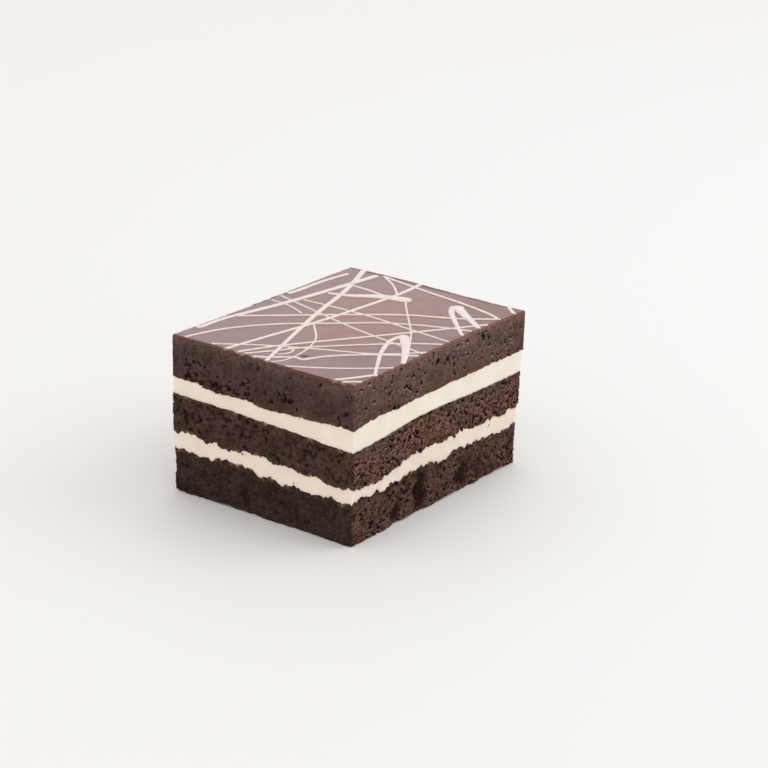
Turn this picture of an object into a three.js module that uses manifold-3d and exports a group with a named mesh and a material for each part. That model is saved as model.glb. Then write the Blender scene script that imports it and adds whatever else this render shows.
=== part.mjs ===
// A square-cut chocolate cake: three sponge layers, two layers of cream between them,
// a ganache top and white drizzle that has set hard on the ganache.
// Millimetres, +Z up. The origin is the bottom centre, and the long side runs along Y.
// The front is the -Y face and the right side is the +X face. The back and the left are made like them.

import * as THREE from 'three';
import Module from 'manifold-3d';

const wasm = await Module();
wasm.setup();

// Sizes of the whole
const WIDTH = 80.6;
const LENGTH = 105.5;
const HEIGHT = 60;
const LEFT_LEAN = 0.2;
const CORNER_BLUNT = 0.3;

// How far the back stands in, from the floor up: sponge layers are upright, and the cream between steps in
const BACK_INSET = [
  { height: 0, inset: 3.8 },
  { height: 16, inset: 3.6 },
  { height: 24, inset: 1.8 },
  { height: 36, inset: 1.6 },
  { height: 45, inset: 0.1 },
  { height: HEIGHT, inset: 0 },
];

// Ganache and drizzle
const GANACHE_BED = 58.6;
const GANACHE_EDGE = 0.5;
const DRIZZLE_RISE = 0.25;
const DRIZZLE_SINK = 0.2;
const DRIZZLE_CROWN = 0.28;
const DRIZZLE_STEP = 6;
const DRIZZLE_TOLERANCE = 0.02;

// Unevenness of the cut sides, always inwards from the cut plane
const SPONGE_CRAGS = 0.9;
const CREAM_DRAG = 0.25;
const JOIN_INSET = 0.35;
const LAYER_GAP = 0.06;

// Hollows where crumb has torn away from the foot of the long sides, shallower on the short sides:
// distance from the side's first corner going anticlockwise, height, reach sideways and upwards, and depth
const HOLLOWS = [
  { from: 27.5, height: 4, sideways: 3.2, upwards: 5.5, depth: 1.8 },
  { from: 42.2, height: 7, sideways: 3.6, upwards: 8.5, depth: 3 },
  { from: 70, height: 6, sideways: 5, upwards: 7, depth: 1.8 },
  { from: 82, height: 6, sideways: 5, upwards: 7, depth: 1.1 },
];
const HOLLOW_SHORT_SHARE = 0.35;

// How finely the sides are split: points along X and Y, and rows up each kind of layer
const STEPS_X = 28;
const STEPS_Y = 36;
const SPONGE_ROWS = 5;
const CREAM_ROWS = 2;
const INNER_RINGS = [{ size: 0.8, skip: 4 }, { size: 0.4, skip: 2 }];

// Heights of the joins between the layers at even steps:
// along the front from left to right, and along the right side from front to back.
// Ragged is how far crumb pushes a join up and down.
const FLOOR = { front: [0, 0], right: [0, 0], ragged: 0 };
const LOWER_CREAM_FOOT = {
  front: [16.6, 16.7, 16.3, 16.2, 17.3, 17.2, 17.7, 17.1, 15.8, 16.5, 15.1, 15.9, 15.4, 15.9, 16, 15.3, 16.2],
  right: [16.2, 16.6, 16, 16.1, 16.7, 16.7, 16.8, 17.6, 17, 16.1,
    15.7, 17.4, 16.6, 16.4, 16.3, 16.1, 15.7, 16, 16.4],
  ragged: 0.4,
};
const LOWER_CREAM_TOP = {
  front: [23, 23.5, 24.2, 21.9, 22.8, 22.4, 22.8, 23.3, 22.9, 22.4, 22.1, 22.2, 21.5, 22, 20.9, 20.8, 21],
  right: [21, 21.1, 19.9, 20.5, 21.3, 22.5, 23.9, 23.6, 24.2, 23.3,
    22.8, 23.3, 23.6, 22.6, 22.4, 22.9, 22.4, 22.9, 23.8],
  ragged: 0.4,
};
const UPPER_CREAM_FOOT = {
  front: [37.5, 37.3, 37.2, 37.1, 36.6, 36.5, 35.9, 35.3, 34.9],
  right: [34.9, 35.3, 36.0, 37.0, 37.3, 37.0, 36.5, 36.4, 36.1, 36.4],
  ragged: 0.15,
};
const UPPER_CREAM_TOP = {
  front: [44.0, 43.6, 42.4, 42.9, 42.1, 42.2, 42.6, 43.2, 43.4],
  right: [43.4, 44.5, 44.2, 44.5, 44.6, 44.8, 44.6, 44.8, 44.6, 44.7],
  ragged: 0.2,
};
const GANACHE_FOOT = {
  front: [GANACHE_BED, GANACHE_BED],
  right: [GANACHE_BED, GANACHE_BED],
  ragged: 0.15,
};

// Drizzle strands: width at the start, width at the end, then the points that the strand runs through.
// A strand that reaches a side is drawn past it and cut off there.
const STRANDS = [
  [2.4, 1.5, [-37, 58], [-25, 28], [-16, -2], [-5.6, -32], [3, -56]],
  [2.5, 2.1, [-26.6, 50.5], [-30.2, 20], [-33, 0], [-36.4, -17], [-38.4, -27], [-38.9, -34], [-39, -40],
    [-41.5, -47]],
  [1.8, 1.5, [-8, 57], [-6.6, 40], [-8.4, 10], [-10.6, -12], [-13.8, -32], [-17.4, -56]],
  [1.2, 1.2, [-37, -57], [-33.7, -44], [-30.2, -35], [-20.5, -20.9], [-5, -6.4], [10, 6.8], [29, 16.2],
    [44, 21]],
  [1.4, 1.3, [-37.5, -23], [-25, -11.8], [-10, 2.1], [10, 18.7], [28.4, 28.8], [44, 42]],
  [1, 1, [-44, 8], [-20, 1.2], [5, -5.7], [44, -12.6]],
  [1, 0.9, [-44, 0.6], [-30, -0.5], [-20.5, -4.5]],
  [1.1, 1.1, [-30, 8.2], [-15, 8.9], [0, 8.9], [22, 6.4], [44, 4]],
  [1.3, 1.2, [-13.3, -56], [-6, -40.6], [-1.6, -33.2], [14.1, -9.3], [29.8, 14.6], [43, 35.6]],
  [1.1, 1.1, [-11.3, -56], [-3, -44], [5, -32], [20, -15.4], [31, -5], [44, 4.2]],
  [1, 1, [-30, -56], [-8.4, -40.7], [10, -31], [28, -21.8], [43, -5.5]],
  [1.3, 1.3, [-6.8, -53.8], [0.3, -49.6], [6, -44.6], [8.3, -43.7], [11, -43.9], [12.2, -41.4], [15, -36],
    [24.4, -25.8], [44, -11.4]],
  [1, 1, [5, -56], [20, -47.1], [30, -39.6], [43, -27.4]],
  [1.5, 1.5, [29.5, -56], [35.3, -47.6], [39, -41], [43, -34.6]],
  [1.2, 1.2, [31.5, -56], [35.4, -52.4], [37.5, -50.6], [44, -45]],
  [0.8, 0.7, [-10, -11], [0.4, -23], [4.6, -32], [6.3, -39.5], [6.6, -46], [5.6, -50.4], [2.6, -54]],
  [0.8, 0.8, [-0.8, -37.6], [1.3, -37.2], [2.9, -39.8], [2.6, -42.7], [0.7, -45.4]],
  [1.6, 6, [-28, 20.5], [-20, 23.4], [-10.6, 29.8], [-4, 32.2], [1.8, 33.2]],
  [0.8, 0.7, [0, 32.4], [3, 28.2], [12, 17.2], [22.6, 4.3], [29, -5]],
  [1.4, 4.4, [42.9, -29.4], [35.4, -17], [29, -7.8], [24.9, -3], [22, -0.6]],
  [2, 1.1, [22.3, -1.6], [22.4, -7.9], [27.2, -19.8], [34, -31.4], [42.4, -45]],
  [1.3, 4.8, [42.8, 20.7], [35.2, 26.7], [28.4, 31.5], [22.8, 35.7], [17.8, 39.7]],
  [2.6, 1.1, [17.4, 38.5], [20.4, 32.9], [29.2, 23.1], [42.8, 9.5]],
  [1.5, 1.4, [-24, 51], [0, 46.4], [20, 43], [36, 38.4], [44, 32.5]],
  [1.1, 1, [-24, 51], [-15, 44.6], [-7, 36.4]],
  [1.5, 1.5, [29.5, 56], [35.9, 49.3], [44, 42.8]],
  [1.4, 1.4, [-26, 34], [-19, 33.6], [-9, 31.6]],
  [2.2, 1.6, [-41.2, 4], [-38.7, 13], [-38.5, 25], [-38, 35], [-36.6, 45]],
];

// Seeded random numbers from 0 to 1, the same at every run
function seeded(seed) {
  let state = seed;
  return () => {
    state = (Math.imul(state, 1664525) + 1013904223) >>> 0;
    return state / 4294967296;
  };
}

// A smooth line through heights at even steps, read at t from 0 to 1
function along(heights, t) {
  const line = new THREE.SplineCurve(heights.map((z, i) => new THREE.Vector2(i / (heights.length - 1), z)));
  return line.getPoint(t).y;
}

// Height of a join at u across and v along, blended in from its four sides.
// The back repeats the front and the left repeats the right, each the other way round.
function joinHeight(join, u, v) {
  const front = (t) => along(join.front, t);
  const right = (t) => along(join.right, t);
  const frontLeft = front(0);
  const frontRight = front(1);
  const backRight = right(1);
  const backLeft = (frontLeft + backRight) / 2;
  const back = (t) => front(1 - t) + (backLeft - frontRight) * (1 - t) + (backRight - frontLeft) * t;
  const left = (t) => right(1 - t) + (frontLeft - backRight) * (1 - t) + (backLeft - frontRight) * t;
  const corners = (1 - v) * ((1 - u) * frontLeft + u * frontRight) + v * ((1 - u) * backLeft + u * backRight);
  return (1 - v) * front(u) + v * back(u) + (1 - u) * left(v) + u * right(v) - corners;
}

// The border of the square, anticlockwise from the front left corner, as shares of width and length
function border() {
  const points = [];
  for (let i = 0; i < STEPS_X; i++) points.push([i / STEPS_X, 0]);
  for (let i = 0; i < STEPS_Y; i++) points.push([1, i / STEPS_Y]);
  for (let i = 0; i < STEPS_X; i++) points.push([1 - i / STEPS_X, 1]);
  for (let i = 0; i < STEPS_Y; i++) points.push([0, 1 - i / STEPS_Y]);
  return points;
}

const BORDER = border();

// How far the back stands in at height z
function backInset(z) {
  const next = BACK_INSET.findIndex(({ height }) => height > z);
  if (next < 1) return BACK_INSET.at(next).inset;
  const [low, high] = [BACK_INSET[next - 1], BACK_INSET[next]];
  return THREE.MathUtils.mapLinear(z, low.height, high.height, low.inset, high.inset);
}

// A point of the cake at shares u and v and height z. The left leans out a little towards the top.
function place(u, v, z, inset = 0) {
  const foot = 1 - z / HEIGHT;
  const x = THREE.MathUtils.lerp(-WIDTH / 2 + LEFT_LEAN * foot, WIDTH / 2, u);
  const y = THREE.MathUtils.lerp(-LENGTH / 2, LENGTH / 2 - backInset(z), v);
  const inX = u === 0 ? inset : u === 1 ? -inset : 0;
  const inY = v === 0 ? inset : v === 1 ? -inset : 0;
  const blunt = inX !== 0 && inY !== 0 ? CORNER_BLUNT : 0;
  return new THREE.Vector3(x + inX + blunt * Math.sign(inX), y + inY + blunt * Math.sign(inY), z);
}

// Depth of the torn hollows at shares u and v of the border and height z
function hollow(u, v, z) {
  const long = u === 1 || u === 0;
  const walked = LENGTH * (u === 1 ? v : u === 0 ? 1 - v : v === 1 ? 1 - u : u);
  const share = long ? 1 : HOLLOW_SHORT_SHARE;
  return HOLLOWS.reduce((sum, { from, height, sideways, upwards, depth }) => {
    const away = ((walked - from) / sideways) ** 2 + ((z - height) / upwards) ** 2;
    return sum + share * depth * Math.exp(-away);
  }, 0);
}

// The ring of points where two layers meet. Both layers use it, one above the other.
function joinRing(join, random) {
  return BORDER.map(([u, v]) => {
    const crumb = (2 * random() - 1) * join.ragged;
    return place(u, v, joinHeight(join, u, v) + crumb, JOIN_INSET * (0.3 + 0.7 * random()));
  });
}

// Rings inside a cap, each smaller and with fewer points than the one around it
function innerRings(join) {
  let ring = BORDER;
  return INNER_RINGS.map(({ size, skip }) => {
    ring = ring.filter((point, i) => i % skip === 0);
    return ring.map(([u, v]) => {
      const [a, b] = [0.5 + (u - 0.5) * size, 0.5 + (v - 0.5) * size];
      return place(a, b, joinHeight(join, a, b));
    });
  });
}

// A closed solid from rings going up, with a cap of smaller rings and a middle point at each end
function solid(rings, lowCap, highCap) {
  const points = [];
  const faces = [];
  const keep = (ring) => ring.map((point) => points.push(point) - 1);
  const face = (a, b, c, up) => faces.push(...(up ? [a, b, c] : [a, c, b]));
  const walls = rings.map(keep);
  const count = walls[0].length;
  for (let row = 0; row + 1 < walls.length; row++) {
    for (let i = 0; i < count; i++) {
      const next = (i + 1) % count;
      face(walls[row][i], walls[row][next], walls[row + 1][next], true);
      face(walls[row][i], walls[row + 1][next], walls[row + 1][i], true);
    }
  }
  const close = (outer, cap, up) => {
    let around = outer;
    for (const ring of cap.rings) {
      const inner = keep(ring);
      const skip = around.length / inner.length;
      for (let j = 0; j < inner.length; j++) {
        const nextInner = inner[(j + 1) % inner.length];
        for (let m = 0; m < skip; m++) {
          const here = around[j * skip + m];
          const next = around[(j * skip + m + 1) % around.length];
          face(here, next, m < skip / 2 ? inner[j] : nextInner, up);
        }
        face(inner[j], around[j * skip + skip / 2], nextInner, up);
      }
      around = inner;
    }
    const middle = points.push(cap.middle) - 1;
    around.forEach((here, j) => face(here, around[(j + 1) % around.length], middle, up));
  };
  close(walls[0], lowCap, false);
  close(walls[walls.length - 1], highCap, true);
  return { points, faces };
}

// The inside of a cap that follows a join, moved up or down by a small gap
function capOf(join, shift) {
  const move = (point) => point.clone().setZ(point.z + shift);
  const rings = innerRings(join).map((ring) => ring.map(move));
  return { rings, middle: move(place(0.5, 0.5, joinHeight(join, 0.5, 0.5))) };
}

// Rows of points up the side of a layer, between the rings that close it below and above
function wallRows(low, high, kind, random) {
  const rings = [low];
  for (let row = 1; row < kind.rows; row++) {
    rings.push(BORDER.map(([u, v], i) => {
      const share = (row + 0.35 * (random() - 0.5)) / kind.rows;
      const z = THREE.MathUtils.lerp(low[i].z, high[i].z, share);
      return place(u, v, z, 0.01 + kind.depth * random() ** 2 + (kind.torn ? hollow(u, v, z) : 0));
    }));
  }
  rings.push(high);
  return rings;
}

// One layer of the cake between two joins
function layer(lowJoin, lowRing, highJoin, highRing, kind, random) {
  const top = highRing.map((point) => point.clone().setZ(point.z - LAYER_GAP));
  const rings = wallRows(lowRing, top, kind, random);
  return solid(rings, capOf(lowJoin, 0), capOf(highJoin, -LAYER_GAP));
}

// A closed solid from a list of points and faces, ready for joining
function toManifold({ points, faces }) {
  const vertProperties = new Float32Array(points.flatMap((point) => point.toArray()));
  return new wasm.Manifold(new wasm.Mesh({ numProp: 3, vertProperties, triVerts: new Uint32Array(faces) }));
}

// One drizzle strand: a low ridge with sloping sides along a curve, its foot sunk into the ganache
function strand([startWidth, endWidth, ...through]) {
  const stops = through.map(([x, y]) => new THREE.Vector3(x, y, HEIGHT));
  const curve = new THREE.CatmullRomCurve3(stops, false, 'centripetal');
  const steps = Math.max(3, Math.round(curve.getLength() / DRIZZLE_STEP));
  const points = [];
  const faces = [];
  for (let i = 0; i <= steps; i++) {
    const t = i / steps;
    const end = i === 0 || i === steps ? 0.6 : 1;
    const width = THREE.MathUtils.lerp(startWidth, endWidth, t) * end;
    const rise = DRIZZLE_RISE * Math.sqrt(width) * end;
    const middle = curve.getPointAt(t);
    const ahead = curve.getTangentAt(t);
    const side = new THREE.Vector3(ahead.y, -ahead.x, 0);
    const corner = (across, up) => middle.clone().addScaledVector(side, across * width).setZ(HEIGHT + up);
    const foot = 0.5 + (0.5 - DRIZZLE_CROWN) * DRIZZLE_SINK / rise;
    points.push(corner(-foot, -DRIZZLE_SINK), corner(foot, -DRIZZLE_SINK));
    points.push(corner(DRIZZLE_CROWN, rise), corner(-DRIZZLE_CROWN, rise));
  }
  for (let i = 0; i < steps; i++) {
    for (let k = 0; k < 4; k++) {
      const [a, b] = [4 * i + k, 4 * i + (k + 1) % 4];
      faces.push(a, a + 4, b, b, a + 4, b + 4);
    }
  }
  const last = 4 * steps;
  faces.push(0, 1, 2, 0, 2, 3, last, last + 2, last + 1, last, last + 3, last + 2);
  return toManifold({ points, faces });
}

// The ganache: a thin slab with a softened top edge, and the drizzle joined on, cut off at the sides
function ganache(bedRing, random) {
  const flat = { front: [HEIGHT, HEIGHT], right: [HEIGHT, HEIGHT] };
  const edge = bedRing.map((point, i) => {
    const [u, v] = BORDER[i];
    return place(u, v, HEIGHT - GANACHE_EDGE, 0.02 + 0.2 * random());
  });
  const top = BORDER.map(([u, v]) => place(u, v, HEIGHT, GANACHE_EDGE * (1 + 0.6 * random())));
  const slab = toManifold(solid([bedRing, edge, top], capOf(GANACHE_FOOT, 0), capOf(flat, 0)));
  const raise = (ring, z) => ring.map((point) => point.clone().setZ(z));
  const [low, high] = [HEIGHT - 0.5, HEIGHT + 3];
  const limits = toManifold(solid([raise(top, low), raise(top, high)], capOf(flat, -0.5), capOf(flat, 3)));
  const drizzle = wasm.Manifold.union(STRANDS.map(strand)).intersect(limits);
  return slab.add(drizzle).simplify(DRIZZLE_TOLERANCE);
}

// Mesh with a name and a finish
function named(name, geometry, finish) {
  geometry.computeVertexNormals();
  const mesh = new THREE.Mesh(geometry, new THREE.MeshStandardMaterial(finish));
  mesh.name = name;
  return mesh;
}

function geometryOf(points, faces) {
  const geometry = new THREE.BufferGeometry();
  geometry.setAttribute('position', new THREE.Float32BufferAttribute(points, 3));
  geometry.setIndex(faces);
  return geometry;
}

const SPONGE_FINISH = { color: 0x4a3831, roughness: 0.9, metalness: 0 };
const CREAM_FINISH = { color: 0xefe4d2, roughness: 0.6, metalness: 0 };
const GANACHE_FINISH = { color: 0x6a4a45, roughness: 0.35, metalness: 0 };
const SPONGE = { rows: SPONGE_ROWS, depth: SPONGE_CRAGS, torn: false, finish: SPONGE_FINISH };
const TORN_SPONGE = { rows: SPONGE_ROWS, depth: SPONGE_CRAGS, torn: true, finish: SPONGE_FINISH };
const CREAM = { rows: CREAM_ROWS, depth: CREAM_DRAG, torn: false, finish: CREAM_FINISH };

// The layers from the floor up, each between two joins
const LAYERS = [
  { name: 'sponge_bottom', low: FLOOR, high: LOWER_CREAM_FOOT, kind: TORN_SPONGE },
  { name: 'cream_lower', low: LOWER_CREAM_FOOT, high: LOWER_CREAM_TOP, kind: CREAM },
  { name: 'sponge_middle', low: LOWER_CREAM_TOP, high: UPPER_CREAM_FOOT, kind: SPONGE },
  { name: 'cream_upper', low: UPPER_CREAM_FOOT, high: UPPER_CREAM_TOP, kind: CREAM },
  { name: 'sponge_top', low: UPPER_CREAM_TOP, high: GANACHE_FOOT, kind: SPONGE },
];

const random = seeded(29);
const cake = new THREE.Group();
cake.name = 'chocolate_cake';
let ring = joinRing(FLOOR, random);
for (const { name, low, high, kind } of LAYERS) {
  const above = joinRing(high, random);
  const { points, faces } = layer(low, ring, high, above, kind, random);
  cake.add(named(name, geometryOf(points.flatMap((point) => point.toArray()), faces), kind.finish));
  ring = above;
}
const glaze = ganache(ring, random).getMesh();
const glazeGeometry = geometryOf(Array.from(glaze.vertProperties), Array.from(glaze.triVerts));
cake.add(named('ganache', glazeGeometry, GANACHE_FINISH));

export default cake;
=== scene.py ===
"""Looks of the square-cut chocolate cake: crumb, cream, ganache, drizzle and loose crumbs.

Shapes are worked out in millimetres and written to the meshes in metres.
"""
import math

import bpy
import numpy as np
from mathutils import Matrix, Vector


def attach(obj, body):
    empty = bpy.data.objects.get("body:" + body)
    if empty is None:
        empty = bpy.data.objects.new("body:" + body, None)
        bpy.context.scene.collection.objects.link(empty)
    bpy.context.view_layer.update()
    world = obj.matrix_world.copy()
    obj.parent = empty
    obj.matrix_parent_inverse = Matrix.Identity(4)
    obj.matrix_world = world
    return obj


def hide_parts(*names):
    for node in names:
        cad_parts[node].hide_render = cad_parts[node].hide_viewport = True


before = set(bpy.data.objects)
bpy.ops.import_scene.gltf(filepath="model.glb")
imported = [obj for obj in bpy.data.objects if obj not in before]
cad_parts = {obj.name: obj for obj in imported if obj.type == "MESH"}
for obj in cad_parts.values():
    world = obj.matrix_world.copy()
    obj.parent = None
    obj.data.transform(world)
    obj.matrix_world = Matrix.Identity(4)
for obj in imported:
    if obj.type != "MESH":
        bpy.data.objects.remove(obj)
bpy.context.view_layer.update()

MM = 0.001

# Sizes of the whole cake
WIDTH = 80.6
LENGTH = 105.5
HEIGHT = 60.0
CORNER_RADIUS = 0.35
BORDER_LENGTH = 2 * (WIDTH + LENGTH)

# The left side stands in a little at its foot. Its bulge starts at one height and is full from the other up.
LEFT_LEAN = 0.2
LEFT_BULGE = 1.2
BULGE_HEIGHTS = (12.0, 24.0)

# How far the back stands in at each height: the sponge layers are nearly upright, and the cream slopes
BACK_INSET = [(0, 3.8), (16, 3.6), (24, 1.8), (36, 1.6), (45, 0.1), (HEIGHT, 0)]

# Hollows where crumb has torn away from the foot of the long sides, shallower on the short sides:
# distance from the side's first corner going anticlockwise, height, reach sideways, reach upwards and depth
HOLLOWS = [
    (27.5, 4.0, 3.2, 5.5, 1.8),
    (42.2, 7.0, 3.6, 8.5, 3.0),
    (70.0, 6.0, 5.0, 7.0, 1.8),
    (82.0, 6.0, 5.0, 7.0, 1.1),
]
HOLLOW_SHORT_SHARE = 0.35
# A hollow sways by a share of its reach, with a turn in radians for each millimetre of height. At the floor
# a share of its depth is left, and upwards it deepens at the rate of its whole depth in the height given.
SWAY_SHARE = 0.3
SWAY_TURN = 0.75
HOLLOW_FLOOR_SHARE = 0.3
HOLLOW_FLOOR_HEIGHT = 4.0

# Heights of the joins between the layers at even steps: along the front from left to right,
# and along the right side from front to back. Ragged is how far crumb pushes a join up and down.
FLOOR = {"front": [0, 0], "right": [0, 0]}
LOWER_CREAM_FOOT = {
    "front": [16.6, 16.7, 16.3, 16.2, 17.3, 17.2, 17.7, 17.1, 15.8,
              16.5, 15.1, 15.9, 15.4, 15.9, 16.0, 15.3, 16.2],
    "right": [16.2, 16.6, 16.0, 16.1, 16.7, 16.7, 16.8, 17.6, 17.0, 16.1,
              15.7, 17.4, 16.6, 16.4, 16.3, 16.1, 15.7, 16.0, 16.4],
    "ragged": 1.3,
    "seed": 2,
}
LOWER_CREAM_TOP = {
    "front": [23.0, 23.5, 24.2, 21.9, 22.8, 22.4, 22.8, 23.3, 22.9,
              22.4, 22.1, 22.2, 21.5, 22.0, 20.9, 20.8, 21.0],
    "right": [21.0, 21.1, 19.9, 20.5, 21.3, 22.5, 23.9, 23.6, 24.2, 23.3,
              22.8, 23.3, 23.6, 22.6, 22.4, 22.9, 22.4, 22.9, 23.8],
    "ragged": 1.2,
    "seed": 3,
}
UPPER_CREAM_FOOT = {
    "front": [37.5, 37.3, 37.2, 37.1, 36.6, 36.5, 35.9, 35.3, 34.9],
    "right": [34.9, 35.3, 36.0, 37.0, 37.3, 37.0, 36.5, 36.4, 36.1, 36.4],
    "ragged": 0.3,
    "seed": 4,
}
UPPER_CREAM_TOP = {
    "front": [44.0, 43.6, 42.4, 42.9, 42.1, 42.2, 42.6, 43.2, 43.4],
    "right": [43.4, 44.5, 44.2, 44.5, 44.6, 44.8, 44.6, 44.8, 44.6, 44.7],
    "ragged": 0.45,
    "seed": 5,
}
GANACHE_FOOT = {
    "front": [58.9, 59.0, 58.9, 59.1, 58.8, 58.5, 58.4, 58.6],
    "right": [58.6, 58.8, 59.1, 58.8, 59.2, 58.9, 58.7, 59.1, 59.0, 58.8],
    "ragged": 0.7,
    "seed": 6,
}

# Waves that make a line uneven, with the height and the step of each: teeth of a ragged join as shares of
# its own height, the lower edge of the bottom layer, and the rounding of the rim. Seeds keep them the same.
TEETH = [(0.35, 3.4), (0.5, 1.7), (0.35, 0.8)]
FOOT_WAVES = [(0.5, 11.0), (0.3, 3.1)]
FOOT_SEED = 81
RIM_WAVES = [(0.25, 4.6), (0.15, 1.6)]
RIM_SEED = 72
# Middle and largest height of the lower edge of the bottom layer
FOOT_MIDDLE = 0.35
FOOT_MOST = 1.1

# How much a side is broken, set out like the joins: by holes in the top layer, by tears in the lower cream
EVENLY = {"front": [1, 1], "right": [1, 1]}
TOP_HOLES = {
    "front": [0.8, 1.4, 1.2, 1.2, 1.3, 1.3, 0.4, 1.3, 1.0, 0.3, 0.3, 0.9, 0.8],
    "right": [0.8, 0.9, 1.1, 1.2, 0.9, 0.8, 0.9, 1.0, 0.8, 0.75, 0.8, 0.7, 0.6],
}
LOWER_TEARS = {
    "front": [0.1, 0.3, 0.3, 0.7, 0.6, 0.3, 0.2, 0.3],
    "right": [0.3, 0.9, 1.2, 1.1, 0.6, 0.3, 0.2, 0.1, 0.1],
}

# How far the rounded edge of the ganache reaches in, or out where it makes a lip, set out like the joins
RIM_ROUND = {
    "front": [0.3, 1.0, 0.8, 0.4, -0.2, -0.6, -0.5, 0.1],
    "right": [0.1, 0.1, 0.3, 1.1, 1.4, 1.4, 1.2, 0.5],
}
# Rows of the rim from its foot up: share of its height, share of the rounding, how much further in,
# how dark (its own cut colour, and painted shade on the rounding), and how far a smear of drizzle shows
RIM_ROWS = [
    (0.0, 0.1, 0.0, 1.0, 0.0),
    (0.2, 0.0, 0.0, 1.0, 0.0),
    (0.42, 0.05, 0.0, 1.0, 0.3),
    (0.66, 0.28, 0.0, 1.0, 0.8),
    (0.86, 0.62, 0.0, 0.9, 1.0),
    (1.0, 1.0, 0.0, 0.3, 1.0),
    (1.0, 1.0, 0.35, 0.0, 0.7),
]
# Drop of the brim below the top, the step and the seed of its waves, and width of the border between the rim
# and the grid of the top
BRIM_DROP = 0.04
BRIM_STEP = 5.0
BRIM_SEED = 71
RIM_MARGIN = 2.4
# Strength of the painted shade along the back edge of the ganache from left to right,
# and the share of it further in
BACK_SHADE = [0.3, 0.7, 0.5, 0.7, 0.5, 0.9, 0.9, 0.5, 0.8, 0.7, 0.3, 0.2]
BACK_SHADE_INSIDE = 0.35
# Stretches of the front edge where drizzle is smeared over the rim, its reach in strand widths,
# its strength at one strand, and its most
SMEARED_FRONT = [(-20.0, 7.0), (27.0, WIDTH / 2)]
SMEAR_REACH = 0.7
SMEAR_STRENGTH = 0.8
SMEAR_MOST = 0.75

# A small dent in the ganache, and the shares of its depth where its painted shade starts and is darkest
DENT_PLACE = (9.0, -40.4)
DENT_TURN = math.radians(36)
DENT_REACH = (1.6, 0.8)
DENT_DEPTH = 0.5
DENT_SHADE = (0.24, 0.64)

# Where the ganache is warmest, where painted shade darkens it to the right, and where painted shade
# darkens and reddens it towards the back right
WARM_PLACE = (6.0, 8.0)
WARM_REACH = (36.0, 42.0)
SHADE_ACROSS = (8.0, 38.0)
FAR_SHADE_ACROSS = (4.0, 32.0)
FAR_SHADE_ALONG = (28.0, 46.0)

# Drizzle: height of a strand 1 mm wide, step along a strand, how far inside the sides strands are cut off,
# and at what share of the rounded rim
DRIZZLE_RISE = 0.25
DRIZZLE_STEP = 0.5
DRIZZLE_TRIM = 0.05
DRIZZLE_AT_RIM = 0.9
# How far inside the top an end is round, and the least of a round end that is left at its tip
WELL_INSIDE = 2.0
TIP_LEAST = 0.05
# Strands lie at a few heights in turn, so that those that cross don't lie in one another
STRAND_LIFT = 0.012
STRAND_HEIGHTS = 5

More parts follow.
